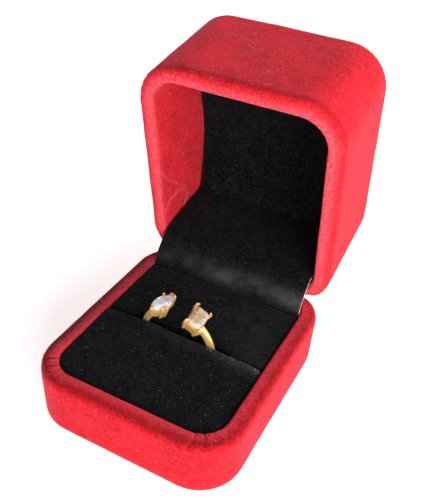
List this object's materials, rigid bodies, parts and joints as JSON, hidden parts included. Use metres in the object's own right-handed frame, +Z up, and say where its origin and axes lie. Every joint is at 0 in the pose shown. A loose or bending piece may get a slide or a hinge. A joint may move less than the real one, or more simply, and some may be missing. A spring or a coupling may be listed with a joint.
{
  "type": "ring box",
  "caption": "Open velvet-covered ring box with a hinged lid, dark padded inside and a slit that holds an open cuff ring set with clear stones.",
  "frame": {"origin": "centre of the base's flat underside", "axes": "+Z up, -Y towards the box's open front, +Y towards the hinge, +X to the right seen from the front; the lid is open at rest"},
  "size_m": [0.051, 0.087, 0.0778],
  "materials": {
    "red_velvet": "matt flocked nap",
    "black_velvet": "matt flocked nap",
    "shell_plastic": "moulded",
    "card": "uncoated",
    "sole_card": "uncoated black",
    "foam": "open-cell foam",
    "spring_steel": "plated",
    "rivet_brass": "plain",
    "gold_plate": "polished, gold-coloured",
    "clear_stone": "faceted, polished"
  },
  "bodies": {
    "base": {"sole_card": "sole_card", "base_shell": "shell_plastic", "base_velvet": "red_velvet", "front_pad_card": "card", "front_pad_foam": "foam", "front_pad_velvet": "black_velvet", "rear_pad_card": "card", "rear_pad_foam": "foam", "rear_pad_velvet": "black_velvet", "base_hinge_leaf": "spring_steel", "hinge_pin": "spring_steel", "base_rivet_left": "rivet_brass", "base_rivet_right": "rivet_brass", "hinge_spring": "spring_steel", "flap_velvet": "black_velvet", "flap_card": "card"},
    "lid": {"lid_shell": "shell_plastic", "lid_velvet": "red_velvet", "liner_velvet": "black_velvet", "liner_card": "card", "lid_foam_block": "foam", "lid_hinge_leaf": "spring_steel", "lid_rivet_left": "rivet_brass", "lid_rivet_right": "rivet_brass"},
    "ring": {"ring_band": "gold_plate", "marquise_setting": "gold_plate", "emerald_setting": "gold_plate", "marquise_stone": "clear_stone", "emerald_stone": "clear_stone"}
  },
  "joints": [
    {"name": "lid_hinge", "type": "hinge", "parent": "base", "child": "lid", "pos_m": [0, 0.02668, 0.01737], "axis": [1, 0, 0], "range_deg": [0, 79.8], "deforming": ["flap_velvet", "flap_card", "hinge_spring"]},
    {"name": "ring_lift", "type": "slide", "parent": "base", "child": "ring", "axis": [0, 0, 1], "range_m": [0, 0.0135]}
  ]
}
